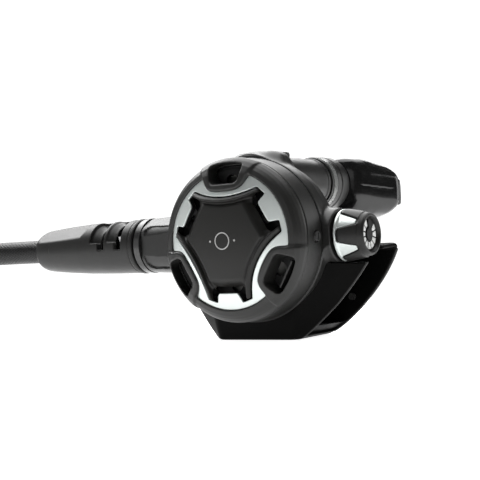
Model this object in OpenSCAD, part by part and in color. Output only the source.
// Second-stage diving regulator with its low-pressure hose.
// Frame: the origin lies on the flat base of the exhaust tee, straight below the valve axis.
// +X points to the adjusting knob, +Y to the mouthpiece, +Z up. Millimetres.

/* [Layout] */
// Height of the valve axis and of the cover's axis above the base
axis_h = 43; // [41:0.5:46]
// Height of the mouthpiece tube's axis above the valve axis
tube_rise = 25.5; // [24.5:0.25:26]
// Distance from the valve axis to the rear end of the mouthpiece tube
tube_end = 52; // [48:1:56]

/* [Case and cover] */
// Outer radius of the case bowl
bowl_r = 34.2; // [34:0.1:34.4]
// Wall thickness of the case bowl
bowl_wall = 2.6; // [2.2:0.1:2.8]
// Outer radius of the ring that holds the cover
ring_r = 35.2; // [34.8:0.1:35.6]
// Radius where the bright bezel meets the cover's shoulder
bezel_r = 29; // [28.6:0.1:29.2]
// Thickness of the bezel plate
bezel_t = 1.2; // [1:0.1:1.4]
// Outer radius of the mouthpiece tube
tube_r = 12; // [11.8:0.1:12.2]
// Airway radius of the mouthpiece tube
airway_r = 9.6; // [9:0.1:9.8]

/* [Purge button] */
// Gap between the button and the bezel around it
button_gap = 0.45; // [0.4:0.05:0.6]
// Least radius of the button, in the middle of each hollow side
star_waist = 18; // [17.6:0.1:18.2]
// Radius of the button's six tips
star_tip = 26; // [25.6:0.1:26.2]

/* [Valve] */
// Outer radius of the valve barrel inside the case
barrel_r = 7.2; // [7:0.1:7.4]
// Bore radius of the valve barrel
barrel_bore = 5.5; // [5.4:0.05:5.6]
// Radial running clearance of the sliding and turning pieces
run_gap = 0.06; // [0.04:0.01:0.08]

/* [Knob] */
// Radius of the bright rim at the knob's root
knob_rim_r = 11; // [10.6:0.1:11.2]
// Radius of the knob's outer end
knob_end_r = 8.6; // [8.4:0.1:8.8]
// Number of rubber fins around the knob
knob_fins = 5; // [4:1:6]

/* [Exhaust tee] */
// Half-width of the flat base
base_half = 20.5; // [19:0.5:21]
// Wall thickness of the tee
tee_wall = 1.6; // [1.4:0.1:1.8]

/* [Hose] */
// Radius of the hose
hose_r = 5.7; // [5.5:0.1:5.8]
// Outer radius of the rubber hose protector at its nut end
protector_r = 12.2; // [11.8:0.1:12.4]
// Radius of the O-ring-sealed male thread that goes into a first stage
fitting_thread_r = 4.76; // [4.76:0.01:4.76]

/* [Hidden] */
$fn = 72;

// Stations along Y, from the button to the mouthpiece
button_front = -33.4;
bezel_y = -28;        // outer edge of the bezel
bezel_crown = -32;    // bezel at the button's waist
cover_seam = -21;     // cover meets its ring
ring_back = -11;      // rear edge of the ring
grille_front = -23.2;
grille_back = -21.7;
disc_front = -20.4;   // diaphragm disc, towards the button
disc_back = -18.6;    // diaphragm disc, towards the lever
cavity_back = 11.5;   // rear wall of the chamber
dome_back = 14.5;     // outside of the rear wall

// Stations along X, from the knob to the hose
knob_root = 40.3;
knob_end = 52.6;
sleeve_right = 38.6;
sleeve_left = -60;
barrel_flange = -63;
stem_face = -76;
ferrule_out = -96;
protector_in = -64.2;
protector_out = -131;

// Valve stations
orifice_face = -21;
foot_x = 14.6;        // rear face of the lever's feet
nut_x = 14.8;         // poppet nut, face towards the orifice
nut_back = 18;
outlet_x = -8;        // outlet to the bypass tube
plunger_x = 27;
screw_x = 33;

// Exhaust
port_y = 7;           // centre of the exhaust port
port_r = 13;
seat_z = 7;
valve_r = 11.6;
tee_front = -10.6;
tee_back = 22;

sleeve_r = 13.2;      // inlet sleeve of the case
skirt_r = 32.9;       // front skirt of the case, inside the ring

// Route of the hose, seen from above: straight out of the case, a gentle bend, then one and a
// third turns of coil wound clockwise, and a short straight end to its fitting
hose_exit = -160;       // where the hose starts to come down
turn_r = 110;           // radius of the gentle bend
turn_angle = 24;
turn_lead = 55;         // straight length between the bend and the coil
coil_x = -289;
coil_start = 58;        // centreline radius where the hose joins the coil
coil_growth = 12.8;     // growth of that radius in one turn
coil_turn = 474;        // degrees wound
join_y = -turn_r * (1 - cos(turn_angle)) - turn_lead * sin(turn_angle);
bend_x = coil_x + (coil_start + turn_r) * sin(turn_angle) + turn_lead * cos(turn_angle);
coil_y = join_y + coil_start * cos(turn_angle);
turn_arc = turn_r * turn_angle * PI / 180;
run = hose_exit - bend_x + turn_arc + turn_lead;  // level length from the exit to the coil

// Height of the hose: an S of two arcs, the lower one touching the table a little inside the coil
land_r = 95;
land_run = run + 20;
land_drop = axis_h - hose_r;
land_slope = 2 * atan(land_drop / land_run);
crest_r = land_drop / (1 - cos(land_slope)) - land_r;

function hose_plan(s) = let (t = s - hose_exit + bend_x, a = t / turn_r * 180 / PI)
    t <= 0 ? [hose_exit - s, 0]
    : t <= turn_arc ? [bend_x - turn_r * sin(a), turn_r * (cos(a) - 1)]
    : [bend_x - turn_r * sin(turn_angle) - (t - turn_arc) * cos(turn_angle),
        turn_r * (cos(turn_angle) - 1) - (t - turn_arc) * sin(turn_angle)];
function hose_height(s) = let (v = land_run - s)
    v <= land_r * sin(land_slope) ? hose_r + land_r - sqrt(land_r * land_r - v * v)
    : axis_h - crest_r + sqrt(crest_r * crest_r - s * s);
hose_route = concat(
    [[ferrule_out, 0, axis_h], [-112, 0, axis_h], [-128, 0, axis_h], [-144, 0, axis_h]],
    [for (i = [0 : 16]) let (s = run * i / 16) [hose_plan(s)[0], hose_plan(s)[1], hose_height(s)]]);

// Far end of the hose
tail_x = coil_x - coil_start - coil_growth * coil_turn / 360;
tail_length = 26;
tail_y = coil_y + tail_length;  // where the hose ends inside its far ferrule
ferrule_length = 17;
fitting_z = 8;

// ---------------------------------------------------------------- helpers

module along_y(y0, y1, r, x = 0, z = axis_h)
    translate([x, y0, z]) rotate([-90, 0, 0]) cylinder(r = r, h = y1 - y0);

module along_x(x0, x1, r, y = 0, z = axis_h)
    translate([x0, y, z]) rotate([0, 90, 0]) cylinder(r = r, h = x1 - x0);

module along_z(z0, z1, r, x = 0, y = 0)
    translate([x, y, z0]) cylinder(r = r, h = z1 - z0);

// A ring about the cover's axis: the outline holds [radius, y] points
module turned_y(outline)
    translate([0, 0, axis_h]) rotate([-90, 0, 0]) rotate_extrude() polygon(outline);

// A ring about the valve's axis: the outline holds [radius, x] points
module turned_x(outline)
    translate([0, 0, axis_h]) rotate([0, 90, 0]) rotate_extrude() polygon(outline);

// An O-ring about the valve's axis
module oring_x(x, r, section)
    translate([x, 0, axis_h]) rotate([0, 90, 0]) rotate_extrude() translate([r, 0]) circle(r = section);

// A rounded rectangle centred on the origin
module rounded_rect(w, h, r) {
    square([w - 2 * r, h], center = true);
    square([w, h - 2 * r], center = true);
    for (sx = [-1, 1], sy = [-1, 1])
        translate([sx * (w / 2 - r), sy * (h / 2 - r)]) circle(r = r);
}

// A shape drawn as seen from the front (x to the right, y up from the cover's axis), cut along Y
module front_extrude(y0, y1)
    translate([0, y1, axis_h]) rotate([90, 0, 0]) linear_extrude(y1 - y0) children();

// A tube of the given radius along a list of points
function unit(v) = v / norm(v);
function tangent(p, i) =
    unit(p[min(i + 1, len(p) - 1)] - p[max(i - 1, 0)]);
function side_of(t) = unit(cross([0, 0, 1], t));
function ring_points(p, i, r, sides) =
    let (t = tangent(p, i), s = side_of(t), u = cross(t, s))
    [for (k = [0 : sides - 1]) p[i] + r * (cos(360 * k / sides) * s + sin(360 * k / sides) * u)];

module swept_tube(points, r, sides = 10) {
    n = len(points);
    rings = [for (i = [0 : n - 1]) each ring_points(points, i, r, sides)];
    walls = [for (i = [0 : n - 2], k = [0 : sides - 1])
        [i * sides + k, i * sides + (k + 1) % sides, (i + 1) * sides + (k + 1) % sides,
            (i + 1) * sides + k]];
    polyhedron(
        points = rings,
        faces = concat(
            [[for (k = [sides - 1 : -1 : 0]) k]],
            walls,
            [[for (k = [0 : sides - 1]) (n - 1) * sides + k]]),
        convexity = 4);
}

// A spring of closed rings, spaced evenly, about the Y or the X axis
module spring_rings(length, r0, r1, wire, turns)
    for (i = [0 : turns - 1]) {
        share = i / (turns - 1);
        translate([0, 0, wire + share * (length - 2 * wire)])
            rotate_extrude() translate([r0 + (r1 - r0) * share, 0]) circle(r = wire, $fn = 16);
    }

// ---------------------------------------------------------------- the three-fold star

lobe_angles = [90, 210, 330];
tip_out = 36;   // angle from a hollow's middle to the outer corner of a tip
hollow_steps = 6;
// Centre and radius of the arc that hollows each side
hollow_c = (pow(star_tip, 2) - pow(star_waist, 2)) / (2 * (star_tip * cos(tip_out) - star_waist));
hollow_r = hollow_c - star_waist;
hollow_half = asin(star_tip * sin(tip_out) / hollow_r);

tab_in = 21.8;        // inner edge of each bezel tab
tab_in_half = 4.8;
tab_out = 25.8;
tab_out_half = 6.3;

function polar(r, a) = [r * cos(a), r * sin(a)];
function turned(p, a) = [p[0] * cos(a) - p[1] * sin(a), p[0] * sin(a) + p[1] * cos(a)];

// The outline of the button, or of the hole for it, grown by g
function star_sector(g) = concat(
    [for (i = [-hollow_steps : hollow_steps])
        let (a = 180 - hollow_half * i / hollow_steps)
        [hollow_c + (hollow_r - g) * cos(a), (hollow_r - g) * sin(a)]],
    [for (p = [[tab_out, -tab_out_half], [tab_in, -tab_in_half], [tab_in, tab_in_half],
        [tab_out, tab_out_half]])
        turned([p[0] + (p[0] < 24 ? 1 : 1.5) * (g - button_gap),
            p[1] + sign(p[1]) * (button_gap - g)], 60)]
);
function star_outline(g) = [for (a = lobe_angles) each [for (p = star_sector(g)) turned(p, a)]];

// ---------------------------------------------------------------- cover windows

frame_in = 20.9;      // inner end of a window's frame
frame_out = 35;
frame_half = 12;
window_in = 23.8;
window_out = 33;
window_half = 8.8;

module at_lobes()
    for (a = lobe_angles) rotate([0, 0, a]) children();

module radial_rect(r0, r1, half, corner)
    translate([(r0 + r1) / 2, 0]) rounded_rect(r1 - r0, 2 * half, corner);

// ---------------------------------------------------------------- case

module case_outer() {
    turned_y([[0, cover_seam], [skirt_r, cover_seam], [skirt_r, ring_back], [bowl_r, ring_back],
        [bowl_r, 3], [31.5, 9],
        [24, dome_back], [0, dome_back]]);
    along_x(sleeve_left, -26, sleeve_r);
    along_x(26, sleeve_right, 11.4);
    along_y(-9, tube_end, tube_r, z = axis_h + tube_rise);
    along_z(seat_z, axis_h - 18, port_r, y = port_y);
}

module case_cavity() {
    turned_y([[0, -22], [31.6, -22], [31.6, disc_back], [29.8, disc_back], [29.8, -17.2],
        [bowl_r - bowl_wall, -15.5],
        [bowl_r - bowl_wall, 2], [29, 7], [22, cavity_back], [0, cavity_back]]);
    along_y(-2, tube_end + 1, airway_r, z = axis_h + tube_rise);
    along_x(sleeve_left - 1, -20, 9.1);
    along_x(20, sleeve_right + 1, barrel_r + run_gap);
    along_z(seat_z - 1, axis_h - 16, port_r - 2.2, y = port_y);
}

// The spokes and hub that carry the exhaust valve
module port_spider() {
    intersection() {
        along_z(seat_z, seat_z + 2.4, port_r - 1, y = port_y);
        union() {
            for (a = [45, 135])
                translate([0, port_y, seat_z + 1.4]) rotate([0, 0, a]) cube([2 * port_r, 2.2, 2],
                    center = true);
            along_z(seat_z + 0.4, seat_z + 2.4, 3.6, y = port_y);
        }
    }
}

module case_shell() color([0.16, 0.16, 0.165]) {
    difference() {
        union() {
            difference() {
                case_outer();
                case_cavity();
            }
            port_spider();
        }
        along_z(seat_z - 1, seat_z + 4, 1.9, y = port_y);
        // room for the cover's ring beside the two sleeves
        turned_y([[skirt_r, -22], [40, -22], [40, ring_back + 0.1], [skirt_r, ring_back + 0.1]]);
        // framed recess on the front of the inlet sleeve
        translate([-47.5, -sleeve_r, axis_h]) rotate([90, 0, 0])
            linear_extrude(2, center = true) rounded_rect(19, 15, 3);
        // groove of the mouthpiece tie
        translate([0, 0, tube_rise]) turned_y([[tube_r - 0.5, 46], [tube_r + 2, 46],
            [tube_r + 2, 47.5], [tube_r - 0.5, 47.5]]);
    }
}

module front_cover() color([0.15, 0.15, 0.155])
    difference() {
        union() {
            difference() {
                turned_y([[34.6, cover_seam], [34.3, -23], [32.4, -25.8], [bezel_r + 0.4, -27.6],
                    [bezel_r + 0.1, bezel_y + bezel_t + 0.06],
                        [star_waist - 1, bezel_crown + bezel_t - 0.4],
                    [star_waist - 1, bezel_crown + bezel_t + 1.8], [28, -24.2], [31.8, cover_seam]]);
                front_extrude(-34, -23) polygon(star_outline(button_gap));
            }
            intersection() {
                front_extrude(-33, -22) at_lobes() radial_rect(frame_in, frame_out, frame_half, 5);
                turned_y([[0, -22], [35, -22], [35, -25.6], [33.8, -27.6], [29, -29.6],
                    [frame_in, -32.4], [0, -32.4]]);
            }
        }
        front_extrude(-34, -20) at_lobes() radial_rect(window_in, window_out, window_half, 3);
        // keeps the shoulder clear above the grille's rim
        turned_y([[0, -23.4], [31.6, -23.4], [31.6, -20], [0, -20]]);
    }

module cover_bezel() color([0.82, 0.84, 0.84])
    difference() {
        turned_y([[bezel_r, bezel_y], [star_waist - 1, bezel_crown - 0.4],
            [star_waist - 1, bezel_crown + bezel_t - 0.4],
            [bezel_r, bezel_y + bezel_t]]);
        front_extrude(-34, -20) polygon(star_outline(button_gap));
        front_extrude(-34, -20) at_lobes() radial_rect(frame_in - 0.05, frame_out, frame_half + 0.05, 5);
    }

module cover_ring() color([0.17, 0.17, 0.175])
    difference() {
        turned_y([[skirt_r + 0.1, cover_seam], [34.7, cover_seam], [ring_r, -14], [ring_r, ring_back],
            [skirt_r + 0.1, ring_back]]);
        along_x(30, 37, 2.05, y = -15.5);
    }

module cover_lock_pin() color([0.4, 0.4, 0.41])
    difference() {
        along_x(skirt_r + 0.2, 35.9, 2, y = -15.5);
        translate([36, -15.5, axis_h]) cube([1.6, 0.6, 3], center = true);
    }

module inner_grille() color([0.2, 0.2, 0.2])
    difference() {
        along_y(grille_front, grille_back, 30);
        along_y(grille_front - 1, grille_back + 1, 6.2);
        for (r = [12, 18.5, 25], i = [0 : 1 : r < 15 ? 7 : 11])
            let (a = i * (r < 15 ? 45 : 30))
            along_y(grille_front - 1, grille_back + 1, r < 15 ? 2.6 : 3, x = r * cos(a),
                z = axis_h + r * sin(a));
    }

// ---------------------------------------------------------------- purge group

module purge_button() color([0.2, 0.2, 0.2])
    difference() {
        intersection() {
            front_extrude(-34, -28.2) polygon(star_outline(0));
            turned_y([[0, -28.6], [27, -28.6], [27, -30.2], [20, -32.4], [15, -33],
                [8, button_front], [0, button_front]]);
        }
        // shallow scoops beside the bezel's tabs
        front_extrude(-34, -30.2) for (a = lobe_angles) rotate([0, 0, a + 60])
            translate([20.2, 0]) rounded_rect(4, 11, 1.6);
    }

module purge_plate() color([0.3, 0.3, 0.3]) {
    along_y(-28.6, -27.4, 15);
    along_y(-27.4, -20.75, 5.6);
}

module purge_spring() color([0.75, 0.75, 0.76])
    translate([0, grille_front, axis_h]) rotate([90, 0, 0])
        spring_rings(grille_front + 27.4, 9, 7.2, 0.4, 4);

module diaphragm() color([0.75, 0.75, 0.72, 0.8])
    turned_y([[12.1, -19.9], [22, -20.2], [25, -17.8], [27.5, -19.4], [31.2, -19.4],
        [31.2, -18.6], [26.9, -18.6],
        [24.8, -16.9], [21.8, -19.3], [12.1, -19.1]]);

module diaphragm_disc() color([0.85, 0.85, 0.83])
    along_y(disc_front, disc_back, 12);

module diaphragm_ring() color([0.25, 0.25, 0.25])
    turned_y([[28.4, -21.6], [31.4, -21.6], [31.4, -19.4], [28.4, -19.4]]);

// ---------------------------------------------------------------- valve

lever_half = 2;       // half-width of the lever's arm
leg_in = 2.2;         // the two legs stand each side of the poppet's stem
leg_out = 3.6;

module lever_arm(x0, y0, x1, y1, t, half)
    translate([x0, y0, axis_h - half]) rotate([0, 0, atan2(y1 - y0, x1 - x0)])
        translate([0, -t / 2, 0]) cube([norm([x1 - x0, y1 - y0]), t, 2 * half]);

module demand_lever() color([0.8, 0.8, 0.82])
    union() {
        lever_arm(0, -17.6, 8, -13.4, 1, lever_half);
        lever_arm(7.6, -13.6, 13.4, -9, 1, lever_half);
        translate([0, -17.6, axis_h - lever_half]) cylinder(r = 0.7, h = 2 * lever_half, $fn = 24);
        translate([12.6, -9.6, axis_h - leg_out]) cube([2, 1.2, 2 * leg_out]);
        for (s = [-1, 1])
            translate([foot_x - 1, -8.6, axis_h + (s > 0 ? leg_in : -leg_out)])
                cube([1, 9.4, leg_out - leg_in]);
    }

module valve_barrel() color([0.78, 0.78, 0.8])
    difference() {
        union() {
            along_x(-76.5, barrel_flange, 7.1);
            along_x(barrel_flange, sleeve_left, 12.7);
            along_x(sleeve_left, -31, 9);
            along_x(-31, 44, barrel_r);
        }
        along_x(-78, -60, 4.2);
        along_x(-61, orifice_face - 9, 4.2);
        along_x(orifice_face - 9, 45, barrel_bore);
        // window for the lever
        translate([10.6, -10, axis_h - 4.2]) cube([7.6, 10, 8.4]);
        // outlet to the bypass tube
        along_z(axis_h, axis_h + 10, 2.1, x = outlet_x);
        for (x = [-56, -36]) turned_x([[8, x - 0.9], [10, x - 0.9], [10, x + 0.9], [8, x + 0.9]]);
        turned_x([[6.6, 43], [8, 43], [8, 43.8], [6.6, 43.8]]);
    }

module barrel_orings() color([0.08, 0.08, 0.08])
    for (x = [-56, -36]) oring_x(x, 8.55, 0.55);

module orifice() color([0.72, 0.6, 0.3])
    difference() {
        turned_x([[1.6, -30], [barrel_bore - 0.04, -30], [barrel_bore - 0.04, -28], [4.4, -28],
            [4.4, -26.2],
            [barrel_bore - 0.04, -26.2], [barrel_bore - 0.04, -23.6], [3.4, -22.6],
                [2.3, orifice_face], [1.6, orifice_face]]);
    }

module orifice_oring() color([0.08, 0.08, 0.08])
    oring_x(-27.1, 4.95, 0.5);

module poppet() color([0.85, 0.84, 0.8])
    difference() {
        turned_x([[0, -20.9], [4.2, -20.9], [barrel_bore - 0.4, -19.5],
            [barrel_bore - 0.4, -13], [1.8, -11.5],
            [1.8, 20.5], [0, 20.5]]);
        along_x(-22, -19.3, 3.25);
        // flats that let the air past the head
        for (s = [-1, 1]) translate([-16, 0, axis_h + s * 5.6]) cube([14, 12, 3], center = true);
    }

module poppet_seat() color([0.1, 0.1, 0.1])
    along_x(orifice_face, -19.35, 3.2);

module poppet_nut() color([0.78, 0.78, 0.8])
    difference() {
        translate([nut_x, 0, axis_h]) rotate([0, 90, 0]) cylinder(r = 4.4, h = nut_back - nut_x, $fn = 6);
        along_x(nut_x - 1, nut_back + 1, 1.82);
    }

module poppet_spring() color([0.75, 0.75, 0.76])
    translate([nut_back, 0, axis_h]) rotate([0, 90, 0])
        spring_rings(plunger_x - nut_back, 3.2, 3.2, 0.4, 6);

module adjust_plunger() color([0.82, 0.82, 0.8])
    difference() {
        along_x(plunger_x, screw_x, barrel_bore - run_gap);
        turned_x([[4.4, 29], [6, 29], [6, 30.6], [4.4, 30.6]]);
        along_x(plunger_x - 1, plunger_x + 1.4, 2.2);
    }

module plunger_oring() color([0.08, 0.08, 0.08])
    oring_x(29.8, 4.9, 0.5);

module adjust_screw() color([0.78, 0.78, 0.8])
    difference() {
        union() {
            along_x(screw_x, 38, barrel_bore - run_gap);
            translate([38, 0, axis_h]) rotate([0, 90, 0]) cylinder(r = 3.2, h = 8.5, $fn = 6);
        }
        turned_x([[4.9, 34.2], [6, 34.2], [6, 34.8], [4.9, 34.8]]);
        turned_x([[4.9, 35.6], [6, 35.6], [6, 36.2], [4.9, 36.2]]);
    }

// ---------------------------------------------------------------- knob

fin_root_half = 3.3;
fin_end_half = 4.4;

module fin_prisms(grow)
    for (i = [0 : knob_fins - 1])
        translate([0, 0, axis_h]) rotate([90 + 360 * i / knob_fins, 0, 0])
            linear_extrude(14) polygon([[knob_root + 0.9 - grow, fin_root_half + grow],
                [knob_root + 2 - grow, fin_root_half + 0.2 + grow],
                [knob_end, fin_end_half + 0.8 + grow], [knob_end, -fin_end_half - 0.8 - grow],
                [knob_root + 2 - grow, -fin_root_half - 0.2 - grow],
                    [knob_root + 0.9 - grow, -fin_root_half - grow]]);

module knob_core() color([0.12, 0.12, 0.12])
    difference() {
        turned_x([[0, 39.3], [9.4, 39.3], [9.4, knob_root], [9.6, 41], [7.6, 49.4], [0, 49.4]]);
        along_x(39, 45, barrel_r + run_gap);
        turned_x([[7, 42.9], [8, 42.9], [8, 43.9], [7, 43.9]]);
        translate([44, 0, axis_h]) rotate([0, 90, 0]) cylinder(r = 3.3, h = 4.2, $fn = 6);
    }

module knob_trim() color([0.82, 0.84, 0.84])
    difference() {
        turned_x([[9.8, knob_root + 0.1], [knob_rim_r, knob_root], [knob_rim_r, knob_root + 0.9],
            [10.5, knob_root + 1.3], [9.2, 49], [7.9, 49], [9.7, 41.2]]);
        fin_prisms(0.05);
    }

module knob_grip() color([0.1, 0.1, 0.1]) {
    turned_x([[7.75, 49.4], [9.2, 49.4], [9.3, 50], [knob_end_r, 52], [7.8, knob_end],
        [6.6, knob_end], [6.6, 49.4]]);
    intersection() {
        turned_x([[9.75, knob_root + 0.9], [10.9, knob_root + 0.9], [10.9, 42.5], [9.5, 49.2],
            [9.2, 49.6], [7.8, 49.6], [9.75, 41.2]]);
        fin_prisms(0);
    }
}

module knob_dial() color([0.9, 0.9, 0.9])
    difference() {
        turned_x([[0, 49.4], [6.5, 49.4], [6.5, 50.6], [0, 50.6]]);
        // the track that the pointer's tail sits in
        translate([50.6, 0, axis_h + 3]) cube([0.6, 1.4, 6.4], center = true);
    }

module knob_clip() color([0.7, 0.7, 0.72])
    difference() {
        turned_x([[6.65, 43.1], [7.8, 43.1], [7.8, 43.7], [6.65, 43.7]]);
        translate([43.4, 0, axis_h - 7]) cube([2, 3, 3], center = true);
    }

// ---------------------------------------------------------------- air path and exhaust

module bypass_path(r, extra) {
    along_z(axis_h, axis_h + 12, r, x = outlet_x);
    translate([outlet_x, 0, axis_h + 12]) sphere(r = r);
    translate([outlet_x, 0, axis_h + 12]) rotate([-28, 14, 0]) cylinder(r = r, h = 9 + extra);
}

module bypass_tube() color([0.3, 0.3, 0.3])
    difference() {
        bypass_path(3.1, 0);
        bypass_path(2.1, 1);
        along_x(-20, 5, barrel_r + run_gap);
    }

module exhaust_valve() color([0.7, 0.7, 0.68, 0.8])
    union() {
        along_z(seat_z - 0.9, seat_z, valve_r, y = port_y);
        along_z(seat_z, seat_z + 4.2, 1.6, y = port_y);
        translate([0, port_y, seat_z + 2.5]) cylinder(r1 = 2.6, r2 = 1.2, h = 1.8);
    }

// Half of the tee as seen from the front: [x, z] points from the base up round the wing
function wing(base, tip_x, tip_z, top_x, top_z) =
    [[base, 0], [34, 13], [tip_x, tip_z], [top_x, top_z]];
function both_sides(p) = concat(p, [for (i = [len(p) - 1 : -1 : 0]) [-p[i][0], p[i][1]]]);

module tee_slab(points, y, t)
    translate([0, y + t, 0]) rotate([90, 0, 0]) linear_extrude(t) polygon(both_sides(points));

module tee_outer()
    hull() {
        tee_slab(wing(base_half, 46, 26, 44, 28), -8, 0.2);
        tee_slab(wing(base_half - 3, 51.5, 33.5, 50.6, 37.5), tee_back - 0.2, 0.2);
        tee_slab([[base_half - 2, 0], [24, 4], [12, 12]], tee_front, 0.2);
    }

module tee_inner()
    hull() {
        tee_slab([[10, tee_wall], [base_half + 2, tee_wall], [62, 20], [62, 26],
            [10, 26]], -8 + tee_wall, 0.2);
        tee_slab([[10, tee_wall], [base_half + 2, tee_wall], [68, 28], [68, 35.6], [10, 35.6]],
            tee_back - tee_wall - 0.2, 0.2);
    }

module exhaust_tee() color([0.17, 0.17, 0.175])
    difference() {
        tee_outer();
        difference() {
            tee_inner();
            // the base stays whole
            translate([-base_half, -20, -1]) cube([2 * base_half, 50, tee_wall + 1]);
        }
        // the case and its sleeves stand in the top
        turned_y([[0, -24], [ring_r + 0.3, -24], [ring_r + 0.3, ring_back + 0.2],
            [bowl_r + 0.2, ring_back + 0.2],
            [bowl_r + 0.2, 3], [31.7, 9.1], [24.1, dome_back + 0.2], [0, dome_back + 0.2]]);
        along_z(seat_z - 0.2, 40, port_r + 0.2, y = port_y);
        along_x(-70, 0, sleeve_r + 0.3);
        // drain holes low in each rear corner
        for (s = [-1, 1]) along_y(tee_back - 3, tee_back + 1, 1, x = s * 27, z = 12);
    }

module tee_pegs() color([0.3, 0.3, 0.3])
    for (s = [-1, 1]) along_y(tee_back - tee_wall - 1.6, tee_back - tee_wall, 1.5, x = s * 31.5,
        z = 16.5);

// ---------------------------------------------------------------- mouthpiece

mouth_z = axis_h + tube_rise;
mouth_drop = 1;       // the body of the mouthpiece sits a little lower than the tube
flange_drop = 3;      // its flange sits lower still

module mouth_section(w, h, corner, y, t, drop)
    translate([0, y + t, mouth_z - drop]) rotate([90, 0, 0]) linear_extrude(t)
        hull() for (sx = [-1, 1], sz = [-1, 1])
            translate([sx * (w / 2 - corner), sz * (h / 2 - corner)]) circle(r = corner, $fn = 32);

module mouthpiece() color([0.08, 0.08, 0.08])
    difference() {
        union() {
            along_y(38.6, 52, 14, z = mouth_z);
            hull() {
                along_y(51.9, 52, 14, z = mouth_z);
                mouth_section(40, 27, 9, 66, 3, mouth_drop);
            }
            hull() {
                mouth_section(40, 27, 9, 66, 3, mouth_drop);
                mouth_section(59, 18, 8.5, 78, 3.5, flange_drop);
            }
            // the two bite tabs
            for (s = [-1, 1])
                translate([s * 18.5, 84, mouth_z - flange_drop]) cube([8, 12, 10], center = true);
        }
        along_y(38, tube_end + 0.2, tube_r + 0.05, z = mouth_z);
        hull() {
            along_y(tube_end, tube_end + 0.2, airway_r, z = mouth_z);
            mouth_section(26, 13, 6.4, 70, 1, flange_drop);
        }
        mouth_section(26, 13, 6.4, 70.9, 24, flange_drop);
        // groove of the tie
        translate([0, 0, tube_rise]) turned_y([[13, 42.6], [15, 42.6], [15, 46.4], [13, 46.4]]);
    }

module mouthpiece_tie() color([0.85, 0.86, 0.86])
    union() {
        translate([0, 0, tube_rise]) turned_y([[13.05, 42.7], [14.2, 42.7], [14.2, 46.3], [13.05, 46.3]]);
        translate([0, 44.5, mouth_z - 14.6]) cube([7, 3.4, 2.6], center = true);
    }

// ---------------------------------------------------------------- hose end at the case

module hose_nut() color([0.78, 0.78, 0.8])
    difference() {
        union() {
            translate([-78.4, 0, axis_h]) rotate([0, 90, 0]) cylinder(r = 9.8, h = 12.4, $fn = 6);
            along_x(-80, -63.6, 8.4);
        }
        along_x(-76.6, -63, 7.1 + run_gap);
        along_x(-78, -76.5, 6.6);
        along_x(-81, -77, 5.3);
    }

module hose_stem() color([0.78, 0.78, 0.8])
    difference() {
        union() {
            along_x(-92, stem_face - 0.6, 3.3);
            along_x(-80.3, stem_face - 0.6, 5.2);
            along_x(-77.8, stem_face - 0.6, 6.4);
            along_x(stem_face - 0.6, -70, 4.1);
        }
        along_x(-93, -69, 2);
        turned_x([[3.2, -73.4], [5, -73.4], [5, -71.8], [3.2, -71.8]]);
    }

module stem_oring() color([0.08, 0.08, 0.08])
    oring_x(-72.6, 3.68, 0.47);

module hose_ferrule() color([0.8, 0.8, 0.82])
    turned_x([[3.35, -80.6], [7.4, -80.6], [7.8, -82], [7.8, -95], [7.4, ferrule_out],
        [3.35, ferrule_out]]);

module hose_protector() color([0.18, 0.18, 0.18])
    difference() {
        turned_x([[10.8, protector_in], [12.6, protector_in], [12.8, -66], [protector_r, -67.6],
            [11.8, -84],
            [10.6, -112], [9.8, -122], [8.6, -127], [7, -130], [6.2, protector_out], [6.2, -98],
                [10.8, -97]]);
        // two cross slots on the upper front
        for (x = [-84.5, -74]) translate([x, 0, axis_h])
            intersection() {
                translate([0, -20, -1]) cube([3.4, 20, 20]);
                rotate([0, 90, 0]) cylinder(r = 20, h = 3.4);
            }
        // flat facet along the top
        translate([-132, -14, axis_h + 10.9]) rotate([0, -2.2, 0]) cube([40, 28, 6]);
    }

// ---------------------------------------------------------------- hose

module hose_tube() color([0.1, 0.1, 0.1])
    swept_tube(hose_route, hose_r);

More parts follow.
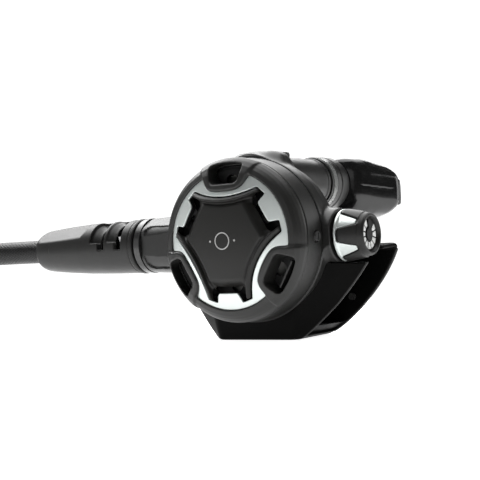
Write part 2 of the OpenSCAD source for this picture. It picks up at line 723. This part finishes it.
// The turns of the coil as one solid, with the hose's straight end
function coil_radius(a) = coil_start + coil_growth * a / 360 + hose_r;
module hose_coil() color([0.1, 0.1, 0.1]) {
    translate([coil_x, coil_y, 0]) linear_extrude(2 * hose_r)
        difference() {
            polygon([for (a = [0 : 3 : 357]) let (r = coil_radius(a <= coil_turn - 360 ? a + 360 : a))
                r * [cos(turn_angle - 90 - a), sin(turn_angle - 90 - a)]]);
            circle(r = coil_start - hose_r);
        }
    translate([tail_x, coil_y - 1, hose_r])
        rotate([atan((fitting_z - hose_r) / tail_length) - 90, 0, 0])
            cylinder(r = hose_r, h = tail_length + 1);
}

module far_ferrule() color([0.8, 0.8, 0.82])
    translate([tail_x, tail_y - 2, fitting_z]) rotate([-90, 0, 0]) rotate_extrude()
        polygon([[0, 0], [7.3, 0], [7.7, 1.4], [7.7, 15], [7.2, ferrule_length], [0, ferrule_length]]);

module first_stage_fitting() color([0.78, 0.78, 0.8])
    translate([tail_x, tail_y - 2 + ferrule_length, fitting_z]) rotate([-90, 0, 0])
        difference() {
            union() {
                cylinder(r = 9.1, h = 9, $fn = 6);
                cylinder(r = 6.8, h = 10.4);
                cylinder(r = 4, h = 12.6);
                translate([0, 0, 12.6]) cylinder(r = fitting_thread_r, h = 8);
            }
            translate([0, 0, 1]) cylinder(r = 2.2, h = 22);
        }

module fitting_oring() color([0.08, 0.08, 0.08])
    translate([tail_x, tail_y - 2 + ferrule_length + 11.5, fitting_z]) rotate([-90, 0, 0])
        rotate_extrude() translate([5, 0]) circle(r = 0.95);

case_shell();
front_cover();
cover_bezel();
cover_ring();
cover_lock_pin();
inner_grille();
purge_button();
purge_plate();
purge_spring();
diaphragm();
diaphragm_disc();
diaphragm_ring();
demand_lever();
valve_barrel();
barrel_orings();
orifice();
orifice_oring();
poppet();
poppet_seat();
poppet_nut();
poppet_spring();
adjust_plunger();
plunger_oring();
adjust_screw();
knob_core();
knob_trim();
knob_grip();
knob_dial();
knob_clip();
bypass_tube();
exhaust_valve();
exhaust_tee();
tee_pegs();
mouthpiece();
mouthpiece_tie();
hose_nut();
hose_stem();
stem_oring();
hose_ferrule();
hose_protector();
hose_tube();
hose_coil();
far_ferrule();
first_stage_fitting();
fitting_oring();
